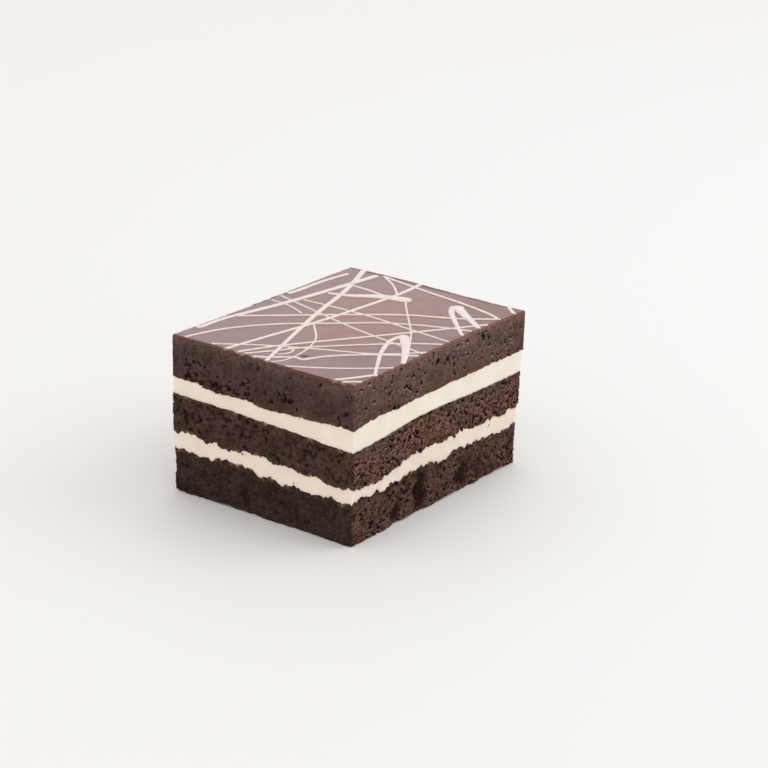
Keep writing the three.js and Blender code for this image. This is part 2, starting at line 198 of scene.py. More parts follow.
# Drizzle strands: width at the start, width at the end, then the points that the strand runs through.
# A strand that reaches a side is drawn past it and cut off there.
STRANDS = [
    (2.4, 1.5, (-37, 58), (-25, 28), (-16, -2), (-5.6, -32), (3, -56)),
    (2.5, 2.1, (-26.6, 50.5), (-30.2, 20), (-33, 0), (-36.4, -17), (-38.4, -27), (-38.9, -34),
     (-39, -40), (-41.5, -47)),
    (1.8, 1.5, (-8, 57), (-6.6, 40), (-8.4, 10), (-10.6, -12), (-13.8, -32), (-17.4, -56)),
    (1.2, 1.2, (-37, -57), (-33.7, -44), (-30.2, -35), (-20.5, -20.9), (-5, -6.4), (10, 6.8), (29, 16.2),
     (44, 21)),
    (1.4, 1.3, (-37.5, -23), (-25, -11.8), (-10, 2.1), (10, 18.7), (28.4, 28.8), (44, 42)),
    (1.0, 1.0, (-44, 8), (-20, 1.2), (5, -5.7), (44, -12.6)),
    (1.0, 0.9, (-44, 0.6), (-30, -0.5), (-20.5, -4.5)),
    (1.1, 1.1, (-30, 8.2), (-15, 8.9), (0, 8.9), (22, 6.4), (44, 4)),
    (1.3, 1.2, (-13.3, -56), (-6, -40.6), (-1.6, -33.2), (14.1, -9.3), (29.8, 14.6), (43, 35.6)),
    (1.1, 1.1, (-11.3, -56), (-3, -44), (5, -32), (20, -15.4), (31, -5), (44, 4.2)),
    (1.0, 1.0, (-30, -56), (-8.4, -40.7), (10, -31), (28, -21.8), (43, -5.5)),
    (1.3, 1.3, (-6.8, -53.8), (0.3, -49.6), (6, -44.6), (8.3, -43.7), (11, -43.9), (12.2, -41.4),
     (15, -36), (24.4, -25.8), (44, -11.4)),
    (1.0, 1.0, (5, -56), (20, -47.1), (30, -39.6), (43, -27.4)),
    (1.5, 1.5, (29.5, -56), (35.3, -47.6), (39, -41), (43, -34.6)),
    (1.2, 1.2, (31.5, -56), (35.4, -52.4), (37.5, -50.6), (44, -45)),
    (0.8, 0.7, (-10, -11), (0.4, -23), (4.6, -32), (6.3, -39.5), (6.6, -46), (5.6, -50.4), (2.6, -54)),
    (0.8, 0.8, (-0.8, -37.6), (1.3, -37.2), (2.9, -39.8), (2.6, -42.7), (0.7, -45.4)),
    (1.6, 6.0, (-28, 20.5), (-20, 23.4), (-10.6, 29.8), (-4, 32.2), (1.8, 33.2)),
    (0.8, 0.7, (0, 32.4), (3, 28.2), (12, 17.2), (22.6, 4.3), (29, -5)),
    (1.4, 4.4, (42.9, -29.4), (35.4, -17), (29, -7.8), (24.9, -3), (22, -0.6)),
    (2.0, 1.1, (22.3, -1.6), (22.4, -7.9), (27.2, -19.8), (34, -31.4), (42.4, -45)),
    (1.3, 4.8, (42.8, 20.7), (35.2, 26.7), (28.4, 31.5), (22.8, 35.7), (17.8, 39.7)),
    (2.6, 1.1, (17.4, 38.5), (20.4, 32.9), (29.2, 23.1), (42.8, 9.5)),
    (1.5, 1.4, (-24, 51), (0, 46.4), (20, 43), (36, 38.4), (44, 32.5)),
    (1.1, 1.0, (-24, 51), (-15, 44.6), (-7, 36.4)),
    (1.5, 1.5, (29.5, 56), (35.9, 49.3), (44, 42.8)),
    (1.4, 1.4, (-26, 34), (-19, 33.6), (-9, 31.6)),
    (2.2, 1.6, (-41.2, 4), (-38.7, 13), (-38.5, 25), (-38, 35), (-36.6, 45)),
]

# Fineness of the meshes, with the sizes of the rings that close a layer and the foot of the ganache.
# Each ring has one point for so many of the ring outside it.
SIDE_POINTS = 1440
SPONGE_ROWS = 58
CREAM_ROWS = 24
TOP_CELLS = (160, 208)
CORNER_POINTS = 7
STRAND_POINTS = 60
LAYER_RINGS = (0.93, 0.7)
FOOT_RINGS = (0.9, 0.6)
RING_SKIP = 4

# How far the sides of the cream stand behind the sponge
CREAM_INSET = 0.2
# Distance that stands for any place well away from a join
WELL_AWAY = 9.0
# Loose crumbs start this far above the floor, and are turned by up to about a full turn round each axis.
# On cream they are fewer with each millimetre away from its edges, down to the least share.
CRUMB_START = 1.0
CRUMB_TURN = (6.3, 6.3, 6.3)
CLING_AT_EDGE = 1.2
CLING_LOSS = 1.5
CLING_LEAST = 0.05
# How far below the opening of a hole its lower lip lies
LIP_HEIGHT = 0.6

# Sponge layers from the top down: finish, joins below and above, and what is special about the mesh
SPONGE_LAYERS = {
    "sponge_top": ("Top Sponge", (UPPER_CREAM_TOP, GANACHE_FOOT), {"broken": TOP_HOLES}),
    "sponge_middle": ("Middle Sponge", (LOWER_CREAM_TOP, UPPER_CREAM_FOOT), {}),
    "sponge_bottom": ("Bottom Sponge", (FLOOR, LOWER_CREAM_FOOT), {"hollows": True}),
}
# Colours of the three layers: painted shade in holes and hollows, cut and torn sides, a band high on the torn
# sides, crumb at a join
SPONGE_COLOURS = {
    "PoreShade": [(0.019, 0.005, 0.003), (0.021, 0.004, 0.002), (0.020, 0.006, 0.004)],
    "CutDark": [(0.042, 0.023, 0.018), (0.026, 0.0125, 0.009), (0.0205, 0.0118, 0.0085)],
    "CutLight": [(0.092, 0.0565, 0.048), (0.088, 0.051, 0.040), (0.056, 0.0345, 0.0255)],
    "TornDark": [(0.070, 0.036, 0.029), (0.043, 0.0105, 0.0065), (0.026, 0.0085, 0.006)],
    "TornLight": [(0.146, 0.088, 0.076), (0.228, 0.118, 0.098), (0.168, 0.086, 0.069)],
    "Band": [(0.110, 0.070, 0.060), (0.100, 0.066, 0.056), (0.080, 0.050, 0.038)],
    "Edge": [(0.100, 0.038, 0.030), (0.085, 0.030, 0.022), (0.060, 0.022, 0.016)],
}
# How far these show: the band, a foot in the colour of the edge, smeared cream, painted glints on moist
# crumb, painted shade in the holes of the cut sides, and a pale crest
SPONGE_AMOUNTS = {
    "BandShare": (0.0, 0.7, 0.3),
    "FootShare": (0.55, 0.4, 0.0),
    "Smear": (0.3, 0.7, 0.7),
    "Glint": (0.85, 0.35, 0.25),
    "CutHoleShade": (0.8, 0.55, 0.45),
    "Crest": (1.0, 0.0, 0.0),
}
# Sizes of the crumb. Shift gives each layer its own pattern, shares say how many holes there are,
# and crowds multiply them low and high in the cut sides, which are also calmer.
SPONGE_CRUMB = {
    "Shift": (311.0, 127.0, 53.0),
    "PoreSpacing": (3.6, 3.0, 3.0),
    "PoreShare": (0.42, 0.2, 0.2),
    "PoreRadius": (1.4, 1.0, 1.0),
    "FineSpacing": (1.5, 1.2, 1.2),
    "FineShare": (0.2, 0.2, 0.2),
    "FineRadius": (0.6, 0.45, 0.45),
    "LowCrowd": (2.0, 0.5, 0.4),
    "HighCrowd": (0.12, 0.4, 0.4),
    "CavitySize": (2.2, 1.3, 1.45),
    "CavityShare": (0.385, 0.455, 0.445),
    "CavityDepth": (8.0, 7.5, 7.5),
    "GrainSize": (0.8, 0.75, 0.75),
    "GrainHeight": (0.15, 0.75, 0.75),
    "ClumpSize": (3.0, 2.4, 2.8),
    "ClumpHeight": (0.16, 0.7, 0.9),
    "SwellHeight": (0.4, 0.6, 0.9),
    "StreakHeight": (0.4, 0.05, 0.05),
    "CutCalm": (0.85, 0.75, 0.65),
    "CutCoarse": (0.9, 0.6, 0.6),
}
# Cream layers: finish, joins, what is special about the mesh, darkest and lightest colour with the tint
# of painted shade on the long sides, and how the cream was drawn
CREAM_LAYERS = {
    "cream_upper": (
        "Upper Cream", (UPPER_CREAM_FOOT, UPPER_CREAM_TOP), {"cling": 0.12},
        ((0.845, 0.715, 0.585), (0.89, 0.785, 0.665), (0.945, 0.985, 1.0)), {"Shift": 19.0}),
    "cream_lower": (
        "Lower Cream", (LOWER_CREAM_FOOT, LOWER_CREAM_TOP), {"cling": 0.45, "broken": LOWER_TEARS},
        ((0.86, 0.71, 0.595), (0.90, 0.77, 0.665), (0.92, 0.91, 0.905)), {"Shift": 83.0, "Tear": 1.3}),
}


# Lines and outlines

def fade(value, start, end):
    """How far a value has come from start to end, as a share from 0 to 1."""
    return np.clip((value - start) / (end - start), 0, 1)


def smooth_line(heights, share):
    """A smooth line through heights at even steps, read at a share from 0 to 1."""
    stops = np.asarray(heights, float)
    last = len(stops) - 1
    spot = np.clip(np.asarray(share, float), 0, 1) * last
    step = np.minimum(spot.astype(int), last - 1)
    part = spot - step
    a, b, c, d = (stops[np.clip(step + k, 0, last)] for k in (-1, 0, 1, 2))
    bend = 2 * a - 5 * b + 4 * c - d + part * (3 * (b - c) + d - a)
    return b + 0.5 * part * (c - a + part * bend)


def wander(around, step, seed):
    """A smooth random line round the border, from -1 to 1, which closes on itself."""
    count = max(4, round(BORDER_LENGTH / step))
    values = np.random.default_rng(seed).uniform(-1, 1, count)
    spot = around / BORDER_LENGTH * count
    here = np.floor(spot).astype(int)
    part = spot - here
    part = part * part * (3 - 2 * part)
    return values[here % count] * (1 - part) + values[(here + 1) % count] * part


def join_height(join, u, v):
    """Height of a join at u across and v along. The back repeats the front, and the left repeats the right.

    Other values that are set out along the front and the right side are read the same way.
    """
    front_left = join["front"][0]
    front_right = join["front"][-1]
    back_right = join["right"][-1]
    back_left = (front_left + back_right) / 2
    front = smooth_line(join["front"], u)
    right = smooth_line(join["right"], v)
    back = smooth_line(join["front"], 1 - u)
    back = back + (back_left - front_right) * (1 - u) + (back_right - front_left) * u
    left = smooth_line(join["right"], 1 - v)
    left = left + (front_left - back_right) * (1 - v) + (back_left - front_right) * v
    front_corners = (1 - u) * front_left + u * front_right
    back_corners = (1 - u) * back_left + u * back_right
    corners = (1 - v) * front_corners + v * back_corners
    return (1 - v) * front + v * back + (1 - u) * left + u * right - corners


def distances(line):
    """Distance from the start of a line to each of its points."""
    return np.concatenate([[0], np.cumsum(np.linalg.norm(np.diff(line, axis=0), axis=1))])


def at_distances(spots, walked, line):
    """Points at given distances along a line."""
    return np.column_stack([np.interp(spots, walked, line[:, k]) for k in (0, 1)])


def border(count):
    """Points round the top, anticlockwise from the front left, the way out at each and the distance round."""
    half_x, half_y, turn = WIDTH / 2, LENGTH / 2, CORNER_RADIUS
    corners = [(half_x, -half_y, -90), (half_x, half_y, 0), (-half_x, half_y, 90), (-half_x, -half_y, 180)]
    outline = []
    for x, y, start in corners:
        middle_x = x - math.copysign(turn, x)
        middle_y = y - math.copysign(turn, y)
        for angle in np.radians(start + np.linspace(0, 90, CORNER_POINTS)):
            outline.append((middle_x + turn * math.cos(angle), middle_y + turn * math.sin(angle)))
    outline = np.array(outline[-1:] + outline)
    walked = distances(outline)
    spots = np.arange(count) / count * walked[-1]
    points = at_distances(spots, walked, outline)
    ahead = np.roll(points, -1, axis=0) - np.roll(points, 1, axis=0)
    way_out = np.column_stack([ahead[:, 1], -ahead[:, 0], np.zeros(count)])
    way_out /= np.linalg.norm(way_out, axis=1, keepdims=True)
    return points, way_out, spots / walked[-1] * BORDER_LENGTH


def shares(points):
    """Places across and along the cake as shares from 0 to 1."""
    return points[:, 0] / WIDTH + 0.5, points[:, 1] / LENGTH + 0.5


def leaning(points, z):
    """Points of the top's outline brought to height z, where the back stands in and the left bulges."""
    u, v = shares(points)
    lean = LEFT_LEAN * (1 - z / HEIGHT) - LEFT_BULGE * fade(z, *BULGE_HEIGHTS)
    heights, insets = zip(*BACK_INSET)
    x = points[:, 0] + lean * (1 - u)
    y = points[:, 1] - np.interp(z, heights, insets) * v
    return np.column_stack([x, y, z])


def waves(around, sizes, seed):
    """Waves of several heights and steps round the border, added up."""
    return sum(height * wander(around, step, seed + k) for k, (height, step) in enumerate(sizes))


def ragged_join(join, points, around):
    """Height of a join round the border, with the crumb that pushes it up and down."""
    teeth = waves(around, TEETH, 10 * join["seed"])
    return join_height(join, *shares(points)) + join["ragged"] * teeth


def foot_line(around):
    """Height of the lower edge of the bottom layer, which doesn't reach the floor everywhere."""
    return np.clip(FOOT_MIDDLE + waves(around, FOOT_WAVES, FOOT_SEED), 0.0, FOOT_MOST)


def torn_hollow(around, z):
    """Depth of the torn hollows in the bottom layer, which sway a little and close towards the floor."""
    ends = np.cumsum([WIDTH, LENGTH, WIDTH, LENGTH])
    side = np.minimum(np.searchsorted(ends, around, side="right"), 3)
    short = side % 2 == 0
    walked = (around - np.concatenate([[0], ends])[side]) * np.where(short, LENGTH / WIDTH, 1.0)
    depth = np.zeros(len(around))
    for start, height, sideways, upwards, most in HOLLOWS:
        sway = SWAY_SHARE * sideways * np.sin(SWAY_TURN * z + start)
        depth += most * np.exp(-((walked - start - sway) / sideways) ** 2 - ((z - height) / upwards) ** 2)
    closing = np.clip(HOLLOW_FLOOR_SHARE + z / HOLLOW_FLOOR_HEIGHT, 0, 1)
    return depth * np.where(short, HOLLOW_SHORT_SHARE, 1.0) * closing


def on_the_way(spots, start, end, a, b):
    """Points that are at a where a spot is at start, and at b where it is at end."""
    share = (spots - start) / (end - start)
    return a * (1 - share) + b * share


def strand_line(through):
    """Points at even steps along a smooth line through a strand's points, and each one's share of the way."""
    stops = np.array(through, float)
    gaps = np.sqrt(np.linalg.norm(np.diff(stops, axis=0), axis=1))
    stops = np.vstack([2 * stops[0] - stops[1], stops, 2 * stops[-1] - stops[-2]])
    times = np.cumsum([-gaps[0], gaps[0], *gaps, gaps[-1]])
    line = []
    last = len(stops) - 3
    for k in range(1, last + 1):
        when, near = times[k - 1: k + 3], stops[k - 1: k + 3]
        spots = np.linspace(when[1], when[2], STRAND_POINTS, endpoint=k == last)[:, None]
        straight = [on_the_way(spots, when[i], when[i + 1], near[i], near[i + 1]) for i in range(3)]
        curved = [on_the_way(spots, when[i], when[i + 2], straight[i], straight[i + 1]) for i in range(2)]
        line.append(on_the_way(spots, when[1], when[2], *curved))
    line = np.concatenate(line)
    walked = distances(line)
    spots = np.linspace(0, walked[-1], max(4, round(walked[-1] / DRIZZLE_STEP)))
    return at_distances(spots, walked, line), spots / walked[-1]


def strand_ends():
    """Places on the border where strands are cut off, and how wide each is there."""
    ends = []
    half = (WIDTH / 2, LENGTH / 2)
    for start, end, *through in STRANDS:
        line = strand_line(through)[0]
        outside = (np.abs(line) > half).any(axis=1)
        for tip, wide in ((0, start), (-1, end)):
            if outside[tip]:
                away = np.linalg.norm(line - line[tip], axis=1)
                ends.append((line[np.argmin(np.where(outside, np.inf, away))], wide))
    return ends


# Meshes

def plain_mesh(name, points, edges, faces, **marks):
    """A mesh in metres from points in millimetres, with a named value or vector for each point."""
    mesh = bpy.data.meshes.new(name)
    mesh.from_pydata((np.asarray(points) * MM).tolist(), edges, faces)
    for label, values in marks.items():
        values = np.asarray(values, np.float32)
        kind, key = ("FLOAT_VECTOR", "vector") if values.ndim == 2 else ("FLOAT", "value")
        mesh.attributes.new(label, kind, "POINT").data.foreach_set(key, values.ravel())
    return mesh


def wall_faces(rows, count):
    """Faces between rows of points that go round the border."""
    here = np.arange(rows)[:, None] * count + np.arange(count)
    after = np.roll(here, -1, axis=1)
    return np.stack([here, after, after + count, here + count], -1).reshape(-1, 4).tolist()


def ring_faces(outer, inner):
    """Faces between a ring of points and a ring inside it that has fewer."""
    faces = []
    skip = len(outer) // len(inner)
    for j, near in enumerate(inner):
        following = inner[(j + 1) % len(inner)]
        for m in range(skip):
            here = outer[j * skip + m]
            after = outer[(j * skip + m + 1) % len(outer)]
            faces.append((here, after, near if m < skip // 2 else following))
        faces.append((near, outer[j * skip + skip // 2], following))
    return faces


def close_over(points, faces, first, outline, join, sizes, up):
    """Close a ring of border points over a join, with smaller rings inside it and a point in the middle."""
    total = sum(map(len, points))
    ring = range(first, first + len(outline))
    added = []
    for size in sizes:
        spots = outline[:: RING_SKIP * len(outline) // len(ring)] * size
        points.append(leaning(spots, join_height(join, *shares(spots))))
        inner = range(total, total + len(spots))
        added += ring_faces(ring, inner)
        ring = inner
        total += len(spots)
    middle = np.zeros((1, 2))
    points.append(leaning(middle, join_height(join, *shares(middle))))
    added += [(here, ring[(j + 1) % len(ring)], total) for j, here in enumerate(ring)]
    faces += added if up else [face[::-1] for face in added]


def layer_mesh(name, joins, rows, hollows=False, inset=0.0, cling=None, broken=EVENLY):
    """A closed layer between two joins, its sides fine enough for crumb, with marks for relief and colour.

    Marks: out is the way out, torn is 1 on the torn long sides and 0 on the cut short sides, edge is the
    distance from a join, level runs from 0 at the foot to 1 at the top, hollow is the depth of a hollow,
    broken is how much holes or tears break the side, and cling is the share of crumbs that cling there.
    """
    low, high = joins
    outline, way_out, around = border(SIDE_POINTS)
    foot = foot_line(around) if low is FLOOR else ragged_join(low, outline, around)
    top = ragged_join(high, outline, around)
    breaks = join_height(broken, *shares(outline))
    foot, top, around, breaks = (np.tile(line, rows + 1) for line in (foot, top, around, breaks))
    way_out = np.tile(way_out, (rows + 1, 1))
    level = np.repeat(np.arange(rows + 1) / rows, SIDE_POINTS)
    z = foot + (top - foot) * level
    hollow = torn_hollow(around, z) if hollows else np.zeros(len(z))
    sides = leaning(np.tile(outline, (rows + 1, 1)), z) - way_out * (inset + hollow)[:, None]
    points = [sides]
    faces = wall_faces(rows, SIDE_POINTS)
    close_over(points, faces, 0, outline, low, LAYER_RINGS, up=False)
    close_over(points, faces, rows * SIDE_POINTS, outline, high, LAYER_RINGS, up=True)
    points = np.concatenate(points)

    edge = np.minimum(WELL_AWAY if low is FLOOR else z - foot, top - z)
    near_edge = np.clip(CLING_AT_EDGE - CLING_LOSS * edge, CLING_LEAST, 1)
    clings = np.ones(len(z)) if cling is None else cling * near_edge
    marks = {"out": way_out, "torn": np.abs(way_out[:, 0]), "edge": edge, "level": level}
    marks.update({"hollow": hollow, "broken": breaks, "cling": clings})
    for label, values in marks.items():
        hidden = np.zeros((len(points) - len(sides), *values.shape[1:]))
        marks[label] = np.concatenate([values, hidden + (WELL_AWAY if label == "edge" else 0.0)])
    return plain_mesh(name, points, [], faces, **marks)


def round_top(across, along):
    """Steps across and along to the points round a grid, anticlockwise from the front left."""
    rightwards, backwards = np.arange(across), np.arange(along)
    step_u = np.concatenate([rightwards, np.full(along, across), across - rightwards, np.zeros(along, int)])
    step_v = np.concatenate([np.zeros(across, int), backwards, np.full(across, along), along - backwards])
    return step_u, step_v


def top_faces(across, along, ring, inner):
    """Faces of the top: a grid of cells, its border numbered from ring on and its inside from inner on."""
    grid = np.zeros((across + 1, along + 1), int)
    grid[round_top(across, along)] = ring + np.arange(2 * (across + along))
    inside = grid[1:across, 1:along]
    inside[:] = inner + np.arange(inside.size).reshape(inside.shape)
    return np.stack([grid[:-1, :-1], grid[1:, :-1], grid[1:, 1:], grid[:-1, 1:]], -1).reshape(-1, 4).tolist()


def dent_share(x, y):
    """How deep the dent is at a place, from 0 to 1."""
    from_x, from_y = x - DENT_PLACE[0], y - DENT_PLACE[1]
    lengthways = from_x * math.cos(DENT_TURN) + from_y * math.sin(DENT_TURN)
    sideways = from_y * math.cos(DENT_TURN) - from_x * math.sin(DENT_TURN)
    return np.exp(-(lengthways / DENT_REACH[0]) ** 2 - (sideways / DENT_REACH[1]) ** 2)


def smear_share(points):
    """How near points of the rim are to strands that are smeared over the front edge."""
    smear = np.zeros(len(points))
    for spot, wide in strand_ends():
        smeared = any(left <= spot[0] <= right for left, right in SMEARED_FRONT)
        if smeared and spot[1] <= 1 - LENGTH / 2:
            away = np.linalg.norm(points[:, :2] - spot, axis=1)
            smear += np.exp(-(away / (SMEAR_REACH * wide)) ** 2)
    return smear


def ganache_mesh(across, along):
    """The ganache slab: an uneven rim with a rounded edge, round a fine grid with a dent.

    Marks: top is 1 on the grid, out is the way out of the rim, and the others are for its colour and painted
    shade.
    """
    step_u, step_v = round_top(across, along)
    u, v = step_u / across, step_v / along
    outline = np.column_stack([(u - 0.5) * WIDTH, (v - 0.5) * LENGTH])
    way_out = np.column_stack([(u == 1) * 1.0 - (u == 0), (v == 1) * 1.0 - (v == 0), np.zeros(len(u))])
    way_out /= np.linalg.norm(way_out, axis=1, keepdims=True)
    half_round = np.concatenate([u[:across] * WIDTH, WIDTH + v[across: across + along] * LENGTH])
    around = np.concatenate([half_round, WIDTH + LENGTH + half_round])
    foot = ragged_join(GANACHE_FOOT, outline, around)
    brim = HEIGHT - BRIM_DROP * (1 + wander(around, BRIM_STEP, BRIM_SEED))
    rounding = (1 + waves(around, RIM_WAVES, RIM_SEED)) * join_height(RIM_ROUND, u, v)
    points = []
    for rise, inset, further, *_ in RIM_ROWS:
        behind = inset * rounding + further
        points.append(leaning(outline, foot + rise * (brim - foot)) - way_out * behind[:, None])
    grid_u, grid_v = np.meshgrid(np.arange(1, across) / across, np.arange(1, along) / along, indexing="ij")
    grid_u, grid_v = grid_u.ravel(), grid_v.ravel()
    grid_x = (grid_u - 0.5) * (WIDTH - 2 * RIM_MARGIN)
    grid_y = (grid_v - 0.5) * (LENGTH - 2 * RIM_MARGIN)
    dent = dent_share(grid_x, grid_y)
    points.append(np.column_stack([grid_x, grid_y, HEIGHT - DENT_DEPTH * dent]))
    rows, count = len(RIM_ROWS), len(u)
    on_rim = slice(0, rows * count)
    on_grid = slice(rows * count, rows * count + len(dent))
    faces = wall_faces(rows - 1, count) + top_faces(across, along, (rows - 1) * count, rows * count)
    close_over(points, faces, 0, outline, GANACHE_FOOT, FOOT_RINGS, up=False)
    points = np.concatenate(points)

    *_, darks, smears = np.transpose(RIM_ROWS)
    dark = np.tile(darks[:, None], count)
    # Painted shade along the back edge
    dark[-2:] = np.maximum(dark[-2:], smooth_line(BACK_SHADE, u) * (v == 1))
    marks = {label: np.zeros(len(points)) for label in ("top", "rim", "smear", "dent", "torn")}
    marks["top"][on_grid] = 1.0
    marks["dent"][on_grid] = fade(dent, *DENT_SHADE)
    marks["rim"][on_rim] = dark.ravel()
    marks["rim"][on_grid] = BACK_SHADE_INSIDE * smooth_line(BACK_SHADE, grid_u) * (grid_v == grid_v.max())
    marks["torn"][on_rim] = np.tile(np.abs(way_out[:, 0]), rows)
    smear = np.repeat(smears, count) * smear_share(points[on_rim])
    marks["smear"][on_rim] = np.minimum(SMEAR_STRENGTH * smear, SMEAR_MOST)
    x, y = points[:, 0], points[:, 1]
    away_x, away_y = (x - WARM_PLACE[0]) / WARM_REACH[0], (y - WARM_PLACE[1]) / WARM_REACH[1]
    marks["warm"] = np.exp(-away_x ** 2 - away_y ** 2)
    # Painted shade: darker to the right, and darker and redder towards the back right
    marks["shade"] = fade(x, *SHADE_ACROSS)
    marks["far"] = fade(x, *FAR_SHADE_ACROSS) * fade(y, *FAR_SHADE_ALONG)
    marks["out"] = np.zeros((len(points), 3))
    marks["out"][on_rim] = np.tile(way_out, (rows, 1))
    return plain_mesh("ganache", points, [], faces, **marks)


def drizzle_mesh():
    """The lines of all strands, each point with its width, its height and how flat the strand is there."""
    points, edges, widths, flatness = [], [], [], []
    first = 0
    for order, (start, end, *through) in enumerate(STRANDS):
        line, share = strand_line(through)
        wide = start + (end - start) * share
        reach = np.minimum(WIDTH / 2 - np.abs(line[:, 0]), LENGTH / 2 - np.abs(line[:, 1]))
        rim = join_height(RIM_ROUND, *np.clip(shares(line), 0, 1))
        inside = np.flatnonzero(reach > DRIZZLE_AT_RIM * rim)
        line, wide, reach = line[inside], wide[inside], reach[inside]
        steps = np.arange(len(line)) * DRIZZLE_STEP
        tip = np.full(len(line), np.inf)
        if reach[0] >= WELL_INSIDE:
            tip = steps
        if reach[-1] >= WELL_INSIDE:
            tip = np.minimum(tip, steps[::-1])
        round_end = np.sqrt(np.clip(1 - (1 - np.clip(tip / (0.5 * wide), 0, 1)) ** 2, TIP_LEAST, 1))
        lift = HEIGHT + STRAND_LIFT * (order % STRAND_HEIGHTS)
        points.append(np.column_stack([line, np.full(len(line), lift)]))
        edges += [(first + k, first + k + 1) for k in range(len(line) - 1)]
        widths.append(wide * round_end)
        flatness.append(DRIZZLE_RISE * np.sqrt(wide) / (0.5 * wide))
        first += len(line)
    points, widths, flatness = map(np.concatenate, (points, widths, flatness))
    return plain_mesh("drizzle", points, edges, [], width=widths, flatness=flatness, bed=points[:, 2])


def crumb_bed(pieces):
    """All cut sides in one mesh, for the crumbs that cling to them."""
    points, faces, cling = [], [], []
    first = 0
    for piece in pieces:
        mesh = piece.data
        count = len(mesh.vertices)
        spots = np.empty(count * 3)
        mesh.vertices.foreach_get("co", spots)
        spots = spots.reshape(-1, 3) / MM
        clings = np.empty(count)
        mesh.attributes["cling"].data.foreach_get("value", clings)
        points.append(spots)
        cling.append(np.where(spots[:, 2] > CRUMB_START, clings, 0.0))
        faces += [[first + k for k in face.vertices] for face in mesh.polygons if len(face.vertices) == 4]
        first += count
    return plain_mesh("crumb_bed", np.concatenate(points), [], faces, cling=np.concatenate(cling))


# Node trees

class Flow:
    """A number, vector, colour or mesh that runs through a node tree. Sums of flows become maths nodes."""

    def __init__(self, socket):
        self.socket = socket
        self.tree = socket.id_data

    def __add__(self, other):
        return maths("ADD", self, other)

    def __sub__(self, other):
        return maths("SUBTRACT", self, other)

    def __rsub__(self, other):
        return maths("SUBTRACT", other, self)

    def __mul__(self, other):
        return maths("MULTIPLY", self, other)

    def __rtruediv__(self, other):
        return maths("DIVIDE", other, self)


def fill(node, feeds):
    """Fill inputs of a node with values and flows."""
    for name, value in feeds.items():
        if isinstance(value, Flow):
            value.tree.links.new(value.socket, node.inputs[name])
        else:
            node.inputs[name].default_value = value


def put(tree, kind, feeds=None, **settings):
    """Add a node to a tree, set it up and fill its inputs."""
    node = tree.nodes.new(kind)
    for name, value in settings.items():
        setattr(node, name, value)
    fill(node, feeds or {})
    return node


def flow(tree, kind, feeds=None, output=0, **settings):
    """The flow out of a new node."""
    return Flow(put(tree, kind, feeds, **settings).outputs[output])


def flows(tree, kind, feeds=None, **settings):
    """All flows out of a new node, by name."""
    return {socket.name: Flow(socket) for socket in put(tree, kind, feeds, **settings).outputs}


def tree_of(*terms):
    """The node tree that a flow among the terms runs through."""
    return next(term.tree for term in terms if isinstance(term, Flow))


def maths(operation, *terms, clamp=False):
    """The result of a maths node on numbers and flows."""
    feeds = dict(enumerate(terms))
    return flow(tree_of(*terms), "ShaderNodeMath", feeds, operation=operation, use_clamp=clamp)


def vectors(operation, vector, other):
    """The result of a vector maths node on a flow and another vector."""
    return flow(vector.tree, "ShaderNodeVectorMath", {0: vector, 1: other}, operation=operation)


def scaled(vector, factor):
    """A vector times a number or flow."""
    return flow(vector.tree, "ShaderNodeVectorMath", {"Vector": vector, "Scale": factor}, operation="SCALE")


def remap(value, low, high, to_low=0.0, to_high=1.0):
    """A value brought from one range to another, and kept inside it."""
    feeds = {"Value": value, "From Min": low, "From Max": high, "To Min": to_low, "To Max": to_high}
    return flow(value.tree, "ShaderNodeMapRange", feeds, "Result")


def between(share, start, end):
    """The value at a share of the way from start to end."""
    return remap(share, 0.0, 1.0, start, end)


def noise(place, scale, detail, output=0):
    """Cloudy noise from 0 to 1, with a scale in waves for each unit of place."""
    return flow(place.tree, "ShaderNodeTexNoise", {"Vector": place, "Scale": scale, "Detail": detail}, output)


def deepest(*depths):
    """The largest of some values."""
    return depths[0] if len(depths) == 1 else maths("MAXIMUM", depths[0], deepest(*depths[1:]))


SOCKET_KINDS = {float: "NodeSocketFloat", int: "NodeSocketInt", tuple: "NodeSocketColor"}


def geometry_tree(name, **sizes):
    """A Geometry Nodes tree with a named input for each size, and the flows from its inputs."""
    tree = bpy.data.node_groups.new(name, "GeometryNodeTree")
    tree.interface.new_socket("Geometry", in_out="INPUT", socket_type="NodeSocketGeometry")
    for label, value in sizes.items():
        socket = tree.interface.new_socket(label, in_out="INPUT", socket_type=SOCKET_KINDS[type(value)])
        socket.default_value = value
    tree.interface.new_socket("Material", in_out="INPUT", socket_type="NodeSocketMaterial")
    tree.interface.new_socket("Geometry", in_out="OUTPUT", socket_type="NodeSocketGeometry")
    return tree, flows(tree, "NodeGroupInput")


def close_tree(geometry, material):
    """End a tree with real meshes and their material."""
    tree = geometry.tree
    real = flow(tree, "GeometryNodeRealizeInstances", {"Geometry": geometry})
    painted = flow(tree, "GeometryNodeSetMaterial", {"Geometry": real, "Material": material})
    put(tree, "NodeGroupOutput", {"Geometry": painted})
    return tree


def add_to_scene(name, data):
    """A new object in the scene."""
    thing = bpy.data.objects.new(name, data)
    bpy.context.scene.collection.objects.link(thing)
    return thing


def shaped(name, mesh, tree, **values):
    """Run a tree over a mesh and keep the result as a plain mesh at the origin."""
    piece = add_to_scene(name, mesh)
    modifier = piece.modifiers.new("shape", "NODES")
    modifier.node_group = tree
    for item in tree.interface.items_tree:
        if item.in_out == "INPUT" and item.name in values:
            modifier[item.identifier] = values[item.name]
    graph = bpy.context.evaluated_depsgraph_get()
    result = bpy.data.meshes.new_from_object(
        piece.evaluated_get(graph), preserve_all_data_layers=True, depsgraph=graph)
    piece.modifiers.remove(modifier)
    piece.data = result
    bpy.data.meshes.remove(mesh)
    result.name = name
    result.shade_smooth()
    return piece


